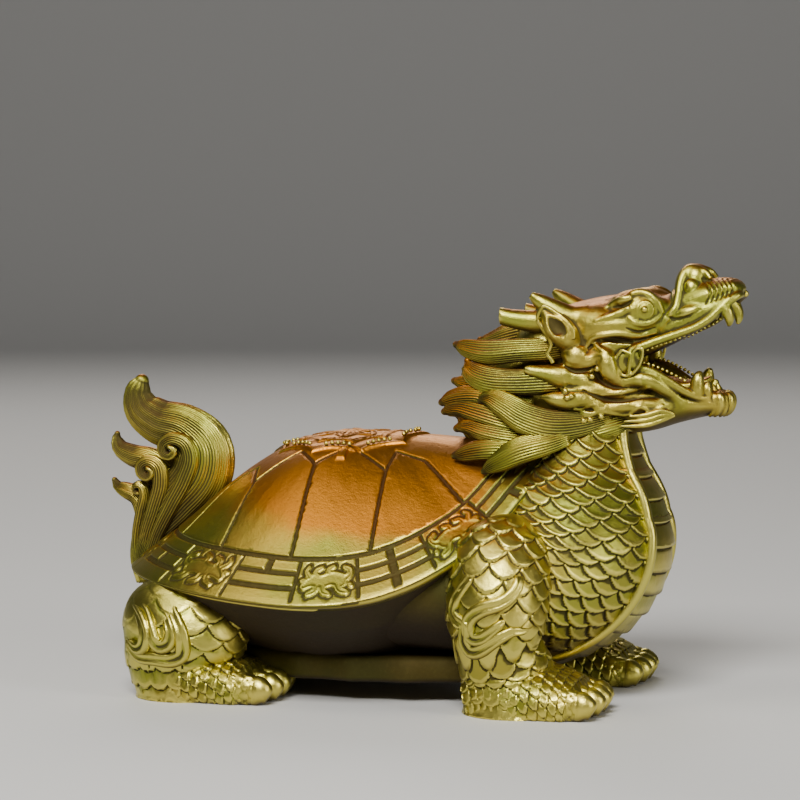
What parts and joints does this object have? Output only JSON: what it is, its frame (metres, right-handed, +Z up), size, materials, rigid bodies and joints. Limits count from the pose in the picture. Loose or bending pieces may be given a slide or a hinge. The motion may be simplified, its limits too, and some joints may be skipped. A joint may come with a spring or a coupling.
{
  "type": "dragon turtle figure",
  "caption": "Small cast brass dragon turtle: a turtle's domed shell with trigram band, a roaring dragon's head and mane, scaled legs and a flaming tail.",
  "frame": {"origin": "middle of the figure's box in plan, on the surface that the four feet stand on", "axes": "+X towards the dragon's head, +Y to the figure's left, +Z up"},
  "size_m": [0.1756, 0.1, 0.1147],
  "materials": {
    "brass": "satin cast brass, olive gold, warm copper on top, brown patina in the recesses"
  },
  "bodies": {
    "root": {"dragon_turtle": "brass"}
  },
  "joints": []
}
